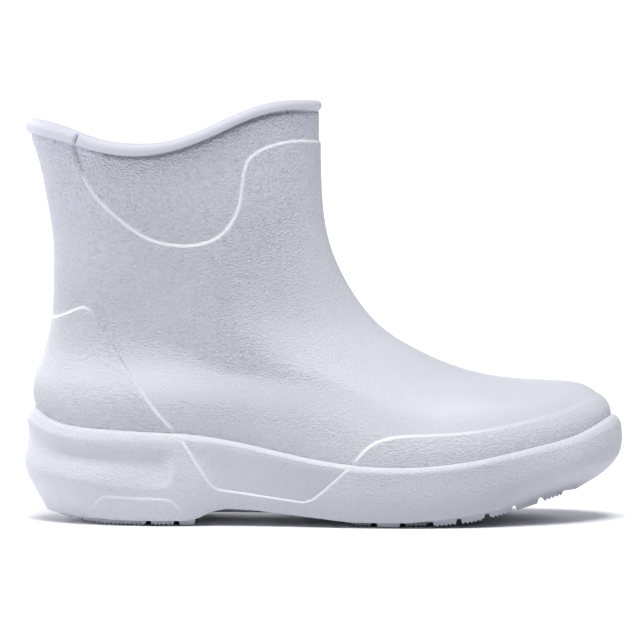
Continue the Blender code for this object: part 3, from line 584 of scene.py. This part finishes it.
rubber = bpy.data.materials.new("tread_rubber")
rubber.use_nodes = True
rubber_nodes = rubber.node_tree.nodes
rubber_links = rubber.node_tree.links
rubber_shader = rubber_nodes["Principled BSDF"]
rubber_shader.inputs["Roughness"].default_value = 0.7
rubber_skin = rubber_nodes.new("ShaderNodeGroup")
rubber_skin.node_tree = grain
rubber_skin.inputs["Fine"].default_value = 0.15
rubber_colour = rubber_nodes.new("ShaderNodeMix")
rubber_colour.data_type = "RGBA"
rubber_colour.inputs["A"].default_value = (0.42, 0.435, 0.49, 1.0)
rubber_colour.inputs["B"].default_value = (0.58, 0.59, 0.64, 1.0)
rubber_links.new(rubber_skin.outputs["Tone"], rubber_colour.inputs["Factor"])
rubber_links.new(rubber_colour.outputs["Result"], rubber_shader.inputs["Base Color"])
rubber_bump = rubber_nodes.new("ShaderNodeBump")
rubber_bump.inputs["Distance"].default_value = MM
rubber_links.new(rubber_skin.outputs["Height"], rubber_bump.inputs["Height"])
rubber_links.new(rubber_bump.outputs["Normal"], rubber_shader.inputs["Normal"])

for name, node, ends, grooves in (
    ("tread_heel", "outsole_heel", (-130.0, -62.0), (-120.2, -84.4, -70.8)),
    ("tread_forefoot", "outsole_forefoot", (13.0, 116.5), [24.0 + 13.5 * i for i in range(7)]),
):
    x = np.arange(ends[0], ends[1] + 0.1, 0.23)
    ground = np.interp(x, *zip(*GROUND))
    off = np.min([np.abs(x - groove) for groove in grooves], axis=0)
    in_groove = 1 - soft_step(off, 0.85, 1.75)
    off_ends = np.minimum(x - ends[0], ends[1] - x)
    in_groove = np.maximum(in_groove, 0.5 * (1 - soft_step(off_ends, 0.0, 0.9)))
    lug = np.searchsorted(grooves, x)
    toothed = np.isin(lug, TOOTHED[name])
    teeth = soft_step(np.abs((x / TOOTH_PITCH) % 1 - 0.5), 0.27, 0.36)
    tooth = TOOTH * teeth * (1 - in_groove) * toothed
    outer = tread_side(x, inner=False) + SHORT_BY * np.isin(lug, SHORT[name]) * (1 - in_groove)
    inner = tread_side(x, inner=True)
    top = ground + LUG + PLATE
    columns = []
    for y, deep in (
        (outer, None), (outer, 0.9), (outer + 0.15, 0.25), (outer + 0.6, 0.0), ((outer * 0.55), 0.0),
        (0 * x - 2.3, 0.0), (0 * x - 1.6, 0.3), (0 * x - 1.1, LUG), (0 * x + 1.1, LUG),
        (0 * x + 1.6, 0.3), (0 * x + 2.3, 0.0), ((inner * 0.55), 0.0), (inner - 0.6, 0.0),
        (inner - 0.15, 0.25), (inner, 0.9), (inner, None),
    ):
        if deep is None:
            z = top
        else:
            z = ground + np.maximum(np.maximum(in_groove * LUG, tooth), deep)
        columns.append(np.column_stack([x, y, z]))
    tread = add_form(name, columns + [columns[0]])
    bpy.ops.object.shade_smooth_by_angle(angle=np.radians(35))
    tread.data.materials.append(rubber)
    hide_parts(node)
    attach(tread, "root")

# The insole: a sheet of pale foam with a knitted top cover, cut to the footbed and dished at the heel.
# It is laid in loose, and the wall round the footbed holds it. Its rows: inset, then height above the bed.
INSOLE_EDGE = ((0.0, 0.7), (-0.1, 2.5), (0.2, 4.3), (0.9, 5.0), (2.2, 5.0), (5.0, 4.4), (9.0, 4.1))
INSOLE_PLAY = 2.2
insole_turns = even_turns(240)
insole_inset = by_place(insole_turns, *ROOT_INSET) + WALL + INSOLE_PLAY
insole_rows = []
for inset, up in INSOLE_EDGE:
    x, y = plan_at(insole_turns, insole_inset + inset)
    insole_rows.append(np.column_stack([x, y, line_height(FOOTBED, x) + up]))
first = insole_rows[0]
last = insole_rows[-1]
under = [spine_of(first) + share * (first - spine_of(first)) for share in np.linspace(0, 1, 6)[:-1]]
over = [spine_of(last) + share * (last - spine_of(last)) for share in np.linspace(1, 0, 10)[1:]]
insole_sheet = add_form("insole_sheet", under + insole_rows + over)
knit = bpy.data.materials.new("insole_knit")
knit.use_nodes = True
knit_nodes = knit.node_tree.nodes
knit_links = knit.node_tree.links
knit_shader = knit_nodes["Principled BSDF"]
knit_shader.inputs["Roughness"].default_value = 0.9
knit_place = knit_nodes.new("ShaderNodeTexCoord")
knit_loops = knit_nodes.new("ShaderNodeTexVoronoi")
knit_loops.inputs["Scale"].default_value = 640.0
knit_loops.inputs["Randomness"].default_value = 0.25
knit_links.new(knit_place.outputs["Object"], knit_loops.inputs["Vector"])
knit_colour = knit_nodes.new("ShaderNodeMix")
knit_colour.data_type = "RGBA"
knit_colour.inputs["A"].default_value = (0.74, 0.75, 0.78, 1.0)
knit_colour.inputs["B"].default_value = (0.58, 0.59, 0.63, 1.0)
knit_links.new(knit_loops.outputs["Distance"], knit_colour.inputs["Factor"])
knit_links.new(knit_colour.outputs["Result"], knit_shader.inputs["Base Color"])
knit_bump = knit_nodes.new("ShaderNodeBump")
knit_bump.invert = True
knit_bump.inputs["Distance"].default_value = 0.3 * MM
knit_links.new(knit_loops.outputs["Distance"], knit_bump.inputs["Height"])
knit_links.new(knit_bump.outputs["Normal"], knit_shader.inputs["Normal"])
insole_sheet.data.materials.append(knit)
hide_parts("insole")
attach(insole_sheet, "root")

# The upper: the upper half of the moulding, one hollow wall of white EVA foam. Toe guard and heel
# counter stand out of it, the collar panel lies back, and the collar ends in a thick rolled bead.
# Sections: back x, z and front x, z in the middle plane, then fullness, swell of the rear half, pinch
# over the heel, half width of the shaft's oval, share of oval, sag with the ledge in front and in
# the rear half, dip with the collar.
SECTIONS = (
    (-139.9, 55.7, 138.9, 50.6, 1.000, 0.000, 0.000, 42.0, 0.00, 1.00, 1.00, 0.00),
    (-141.0, 60.5, 137.2, 56.2, 1.008, 0.036, 0.000, 41.0, 0.00, 0.97, 0.80, 0.00),
    (-140.7, 67.5, 131.7, 61.2, 0.990, 0.060, 0.000, 39.5, 0.02, 0.90, 0.48, 0.00),
    (-138.6, 75.0, 121.3, 66.1, 0.950, 0.024, 0.038, 38.0, 0.09, 0.77, 0.22, 0.00),
    (-135.6, 83.0, 98.5, 67.8, 0.910, 0.006, 0.090, 37.2, 0.24, 0.60, 0.11, 0.00),
    (-133.4, 91.5, 70.0, 72.3, 0.880, 0.000, 0.080, 35.6, 0.42, 0.43, 0.06, 0.00),
    (-132.2, 101.0, 43.5, 83.4, 0.860, 0.000, 0.060, 34.6, 0.60, 0.28, 0.03, 0.00),
    (-131.7, 111.5, 24.0, 97.3, 0.870, 0.000, 0.035, 34.5, 0.78, 0.15, 0.00, 0.00),
    (-131.5, 124.0, 9.5, 118.2, 0.910, 0.000, 0.010, 35.5, 0.92, 0.05, 0.00, 0.00),
    (-132.1, 139.0, 1.9, 138.0, 0.960, 0.000, 0.000, 37.3, 1.00, 0.00, 0.00, 0.06),
    (-134.6, 155.0, -0.8, 158.0, 1.000, 0.000, 0.000, 39.6, 1.00, 0.00, 0.00, 0.30),
    (-138.0, 172.0, -1.5, 178.5, 1.000, 0.000, 0.000, 42.0, 1.00, 0.00, 0.00, 0.70),
    (-142.5, 187.0, -1.5, 198.4, 1.000, 0.000, 0.000, 44.5, 1.00, 0.00, 0.00, 1.00),
)
TOP_LEVEL = len(SECTIONS) - 1
COLLAR_LINE = (
    (0.00, 187.0), (0.12, 183.3), (0.24, 178.6), (0.36, 176.2), (0.49, 178.4), (0.63, 185.4),
    (0.77, 194.3), (0.90, 198.4), (1.00, 198.4),
)
# Bead of the collar: share of the way from back to front, its height and how far it stands out.
BEAD = (
    (0.00, 8.2, 0.8), (0.12, 9.2, 1.7), (0.24, 7.7, 2.2), (0.36, 7.0, 2.2), (0.45, 6.2, 2.2),
    (0.70, 5.9, 2.0), (0.90, 5.3, 1.0), (1.00, 5.3, 0.4),
)
INNER_DROP = 2.4
GUARD_LINE = (
    (-HALF_LENGTH, 96.5), (-131.5, 98.8), (-121.0, 102.7), (-116.5, 104.2), (-113.6, 103.6),
    (-110.4, 100.0), (-103.8, 89.8), (-93.0, 73.2), (-80.5, 55.2), (-71.0, 44.0), (-60.0, 24.0),
    (4.0, 17.0), (10.0, 24.5), (15.0, 31.8), (19.5, 37.2), (25.0, 40.9), (31.0, 42.9), (42.0, 44.0),
    (64.0, 44.9), (84.0, 47.4), (104.0, 51.4), (118.0, 54.7), (129.0, 58.9), (HALF_LENGTH, 64.0),
)
PANEL_LINE = (
    (-120.4, 192.0), (-119.9, 181.5), (-118.3, 175.0), (-112.0, 160.8), (-98.6, 147.1), (-86.0, 138.4),
    (-68.0, 134.2), (-50.4, 138.5), (-41.6, 150.0), (-38.8, 164.0), (-35.6, 175.6), (-28.0, 180.8),
    (-12.0, 184.3), (0.0, 183.8),
)
GUARD_STEP = 0.8
PANEL_STEP = 0.9
STEP_RUN = 1.2
LEDGE_GAP = 0.3
TUCK = 1.4


def upper_base(turn, level):
    """Point of the upper's smooth outer form."""
    columns = (spline(np.arange(len(SECTIONS)), column, level) for column in zip(*SECTIONS))
    back_x, back_z, front_x, front_z, fullness, swell, pinch, half_width, oval, sag, rear_sag, dip = columns
    first_back_x, first_back_z, first_front_x, first_front_z = SECTIONS[0][:4]
    foot_x, foot_y = plan_at(turn, by_place(turn, *ROOT_INSET))
    foot_share = (foot_x - first_back_x) / (first_front_x - first_back_x)
    angle = 2 * np.pi * turn
    share = foot_share + oval * ((1 - np.cos(angle)) / 2 - foot_share)
    swell = swell * (1 - soft_step(foot_x, -50.0, 45.0)) - pinch * (1 - soft_step(foot_x, -112.0, -44.0))
    foot_y = foot_y * (fullness + swell)
    x = back_x + (front_x - back_x) * share
    blunt = np.where(np.cos(angle) < 0, np.interp(level, (5, 7, 9, 12), (1.0, 0.88, 0.84, 1.0)), 1.0)
    round_y = -np.sign(np.sin(angle)) * np.abs(np.sin(angle)) ** blunt * half_width
    y = foot_y + oval * (round_y - foot_y)
    ledge_x = first_back_x + (first_front_x - first_back_x) * share
    ledge_chord = first_back_z + (first_front_z - first_back_z) * share
    collar_chord = COLLAR_LINE[0][1] + (COLLAR_LINE[-1][1] - COLLAR_LINE[0][1]) * share
    z = back_z + (front_z - back_z) * share
    sag = sag + (rear_sag - sag) * (1 - soft_step(x, -15.0, 55.0))
    z = z + sag * (line_height(LEDGE_LINE, ledge_x) - ledge_chord)
    lower = INNER_DROP * soft_step(share, 0.02, 0.16) * (1 - soft_step(share, 0.34, 0.50)) * (turn > 0.5)
    z = z + dip * (line_height(COLLAR_LINE, share) - lower - collar_chord)
    return np.stack([x, y, z + LEDGE_GAP], axis=-1)


def upper_frame(turn, level):
    """Point of the smooth form, its outward and its upward direction."""
    small = 1e-3
    along = upper_base((turn + small) % 1, level) - upper_base((turn - small) % 1, level)
    low = np.clip(level - small, 0, TOP_LEVEL)
    up = upper_base(turn, np.clip(level + small, 0, TOP_LEVEL)) - upper_base(turn, low)
    out = np.cross(along, up)
    out[..., 2] *= soft_step(level, 0.0, 0.8)
    out /= np.linalg.norm(out, axis=-1, keepdims=True)
    return upper_base(turn, level), out, up / np.linalg.norm(up, axis=-1, keepdims=True)


def level_of_line(turns, height_at):
    """Level at which each turn's line up the upper first meets a side line."""
    levels = np.linspace(0, TOP_LEVEL, 500)
    points = upper_base(turns[None, :], levels[:, None])
    over = points[..., 2] - height_at(points[..., 0])
    above = np.argmax(over > 0, axis=0)
    columns = np.arange(len(turns))
    here = over[above, columns]
    below = over[np.maximum(above - 1, 0), columns]
    back = np.where(above > 0, here / np.where(here != below, here - below, 1), 0)
    return np.where(here <= 0, TOP_LEVEL, levels[above] - back * levels[1])


def climb(turns, level, run):
    """How many levels it takes to climb run millimetres from a level."""
    rise = upper_base(turns, level + 0.05) - upper_base(turns, level)
    return run * 0.05 / np.linalg.norm(rise, axis=-1)


panel_curve = trace(PANEL_LINE, closed=False)


def panel_height(x):
    """Height of the collar panel's lower edge. Behind the panel it lies above the collar."""
    return np.where(x < PANEL_LINE[0][0], 400.0, np.interp(x, *panel_curve.T))


def gap_to(curve, rows):
    """Distance in the side view from every point of the rows to a curve."""
    return np.array([
        np.min(np.hypot(row[:, None, 0] - curve[:, 0], row[:, None, 2] - curve[:, 1]), axis=1) for row in rows
    ])


turns = even_turns(540, closer=((-124.0, -66.0, 2.0), (-6.0, 26.0, 1.6), (38.0, 58.0, 1.6)))
count = len(turns)
flat = np.zeros(count)
top = np.full(count, float(TOP_LEVEL))
guard_x = np.linspace(-HALF_LENGTH, HALF_LENGTH, 1200)
guard_curve = np.column_stack([guard_x, line_height(GUARD_LINE, guard_x)])
guard = level_of_line(turns, lambda x: line_height(GUARD_LINE, x))
guard = np.maximum(guard - climb(turns, guard, STEP_RUN), climb(turns, flat, STEP_RUN))
guard_over = guard + 2 * climb(turns, guard, STEP_RUN)
panel_run = climb(turns, top - 0.2, STEP_RUN)
panel = np.minimum(level_of_line(turns, panel_height), top - 3 * panel_run) - panel_run
panel_over = panel + 2 * panel_run
eased = np.max([guard_over, np.mean([np.roll(guard_over, k) for k in range(-50, 51)], axis=0)], axis=0)

levels = [flat] + [guard * share for share in np.linspace(0, 1, 13)]
levels += [guard + share * (guard_over - guard) for share in np.linspace(0, 1, 11)[1:]]
for share in np.linspace(0, 1, 54)[1:]:
    start = guard_over + soft_step(share, 0.0, 0.3) * (eased - guard_over)
    levels.append(start + share * (panel - start))
levels += [panel + share * (panel_over - panel) for share in np.linspace(0, 1, 11)[1:]]
levels += [panel_over + share * (top - panel_over) for share in 1 - np.linspace(1, 0, 24)[1:] ** 1.7]
levels = np.array(levels)
base, out, _ = upper_frame(np.broadcast_to(turns, levels.shape), levels)

# Steps of the wall: how far each place lies below the guards' edge and above the panel's.
guard_gap = gap_to(guard_curve, base)
below_guard = np.where(base[..., 2] < line_height(GUARD_LINE, base[..., 0]), guard_gap, -guard_gap)
panel_gap = gap_to(panel_curve, base)
in_panel = np.where(base[..., 2] > panel_height(base[..., 0]), panel_gap, -panel_gap)
at_back = 1 - soft_step(base[..., 0], -136.0, -122.0)
at_toe = soft_step(base[..., 0], 116.0, 134.0)
softer = 1 + 0.7 * soft_step(base[..., 0], 60.0, 110.0)
guard_lift = GUARD_STEP * soft_step(below_guard / softer, -0.7, 0.9) * (1 - 0.7 * at_back - 0.6 * at_toe)
panel_lift = PANEL_STEP * soft_step(in_panel, -0.3, 1.1)

# The groove under the collar's bead, by share of the way from back to front: how deep it is.
GROOVE = (
    (0.0, 0.3), (0.12, 0.7), (0.16, 0.2), (0.19, 0.3), (0.27, 2.0), (0.82, 2.0), (0.93, 1.2), (1.0, 0.2),
)
at = (1 - np.cos(2 * np.pi * turns)) / 2
groove = np.interp(at, *zip(*GROOVE))
below_bead = (top - levels) / climb(turns, top - 0.2, 1.0)
lift = guard_lift - panel_lift - groove * np.exp(-((below_bead - 0.1) / 0.95) ** 2)

# The tab at the back ends in a crease that runs down from the collar and fades.
FOLD_DEPTH = 0.9
fold = np.exp(-((in_panel + 0.1) / 1.0) ** 2) * soft_step(base[..., 2], 167.0, 182.0)
fold = fold * (base[..., 0] < -110)
lift = lift - FOLD_DEPTH * fold
# Painted shade in the groove under the bead and in the tab's crease.
hollow = groove / 2 * np.exp(-((below_bead + 0.1) / 1.2) ** 2)
crease = np.maximum(0.4 * hollow, 0.35 * fold)
# The foam's white is not even: painted shade over the instep and at the waist, painted light at the back and
# the collar, and a touch of painted light above the ankle.
side_x, side_z = base[..., 0], base[..., 2]
instep_shade = 0.26 * np.exp(-((side_x + 22) / 30) ** 2 - ((side_z - 113) / 24) ** 2)
waist_shade = 0.17 * np.exp(-((side_x + 35) / 45) ** 2 - ((side_z - 60) / 13) ** 2)
crease = np.maximum(crease, instep_shade + waist_shade)
at_heel = (1 - soft_step(side_x, -118.0, -80.0)) * soft_step(side_z, 105.0, 135.0)
at_collar = 0.75 * soft_step(side_z, 140.0, 165.0)
pale = np.maximum(at_heel, at_collar) * 0.6 + 0.1 * soft_step(side_z, 70.0, 110.0)
skin = base + out * lift[..., None]
skin[0, :, 2] -= TUCK

# Painted highlight along the guards' edges by x, stronger low on the counter, and along the panel's edge
# below the tab; the grain is smoothed there too.
GUARD_HIGHLIGHT = (
    (-115, 0.75), (-110, 0.1), (-60, 0.1), (8, 0.9), (28, 0.9), (45, 0.5), (70, 0.2), (100, 0.0),
)
guard_worn = np.interp(side_x, *zip(*GUARD_HIGHLIGHT))
low_counter = 0.7 - 0.7 * soft_step(side_z, 57, 70)
guard_worn = np.where(side_x < -60, np.maximum(guard_worn, low_counter), guard_worn)
panel_worn = 0.85 - 0.85 * soft_step(side_z, 163.0, 172.0) * (side_x < -100)
nearer = guard_gap < panel_gap
lip = np.clip(np.where(nearer, np.abs(below_guard + 0.1), np.abs(in_panel - 0.1)), 0, NO_EDGE)
worn = np.where(nearer, guard_worn * soft_step(side_z - side_z[0], 0.5, 2.5), panel_worn)
on_guard = soft_step(below_guard, 0.0, 1.5)
coarse = on_guard * np.interp(out[..., 2], (0.05, 0.35, 0.7), (1.0, 0.55, 0.3))
coarse = coarse * np.interp(side_x, (-60, 0), (1.7, 1.2))
fine = np.interp(out[..., 2], (0.0, 0.08, 0.2, 0.5, 0.7, 0.9), (2.2, 1.3, 0.6, 0.4, 0.3, 0.15))
fine = fine * (0.5 + 0.5 * soft_step(side_z, 55.0, 85.0)) * (1 - 0.45 * on_guard)

# The bead, ring by ring round its section from under the outside over the top to the inside. The fold at
# the tab's end runs on across it, leaning forwards.
FOLD_X = -119.7
FOLD_Z = 183.0
FOLD_LEAN = 0.42
BEAD_IN = 0.6
BEAD_FOOT = 0.5
point, out, up = upper_frame(turns, top)
bead_shares, bead_heights, bead_outs = zip(*BEAD)
bead_height = spline(bead_shares, bead_heights, at)
bead_out = spline(bead_shares, bead_outs, at)
bead = []
bead_crease = []
for angle in np.radians(np.linspace(-84, 252, 28)):
    inwards = WALL + BEAD_IN
    across = (bead_out - inwards) / 2 + (bead_out + inwards) / 2 * np.cos(angle)
    rise = BEAD_FOOT + (bead_height - BEAD_FOOT) / 2 * (1 + np.sin(angle))
    ring = point + out * across[:, None] + up * rise[:, None]
    to_fold = ring[:, 0] - FOLD_X - FOLD_LEAN * (ring[:, 2] - FOLD_Z)
    facing = np.clip(np.cos(angle), 0, 1) * (turns < 0.5)
    fold = np.exp(-(to_fold / 0.75) ** 2) * facing
    tab = 0.5 * (1 - soft_step(to_fold, -1.5, 0.5)) * facing
    bead.append(ring + out * (tab - 1.6 * fold)[:, None])
    # Painted shade under the bead and on its lower half, a little on its top, and in the fold.
    under = 0.7 * groove / 2 * soft_step(-np.sin(angle), 0.5, 1.0)
    shade = 0.02 + 0.20 * soft_step(-np.sin(angle), -0.1, 0.9)
    shade = shade + 0.08 * soft_step(np.sin(angle), 0.5, 1.0)
    bead_crease.append(np.maximum(0.5 * fold, np.maximum(under, shade) * (np.cos(angle) > -0.2)))
inner_levels = np.linspace(1, 0, 18)[:, None] * top
inner, inner_out, _ = upper_frame(np.broadcast_to(turns, inner_levels.shape), inner_levels)
inner = inner - WALL * inner_out
rest = np.zeros((len(inner) + 1, count))
bare = np.zeros((len(bead), count))
# On the bead the light mask adds painted light all round.
boot_upper = add_form(
    "boot_upper",
    np.concatenate([skin, bead, inner, skin[:1]]),
    lip=np.concatenate([lip, bare + NO_EDGE, rest + NO_EDGE]),
    worn=np.concatenate([worn, bare, rest]),
    fine=np.concatenate([fine, bare + 0.15, rest + 0.4]),
    coarse=np.concatenate([coarse, bare, rest]),
    crease=np.concatenate([crease, bead_crease, rest]),
    pale=np.concatenate([pale, bare + 0.3, rest]),
)
boot_upper.data.materials.append(sole_foam)
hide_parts("upper")
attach(boot_upper, "root")
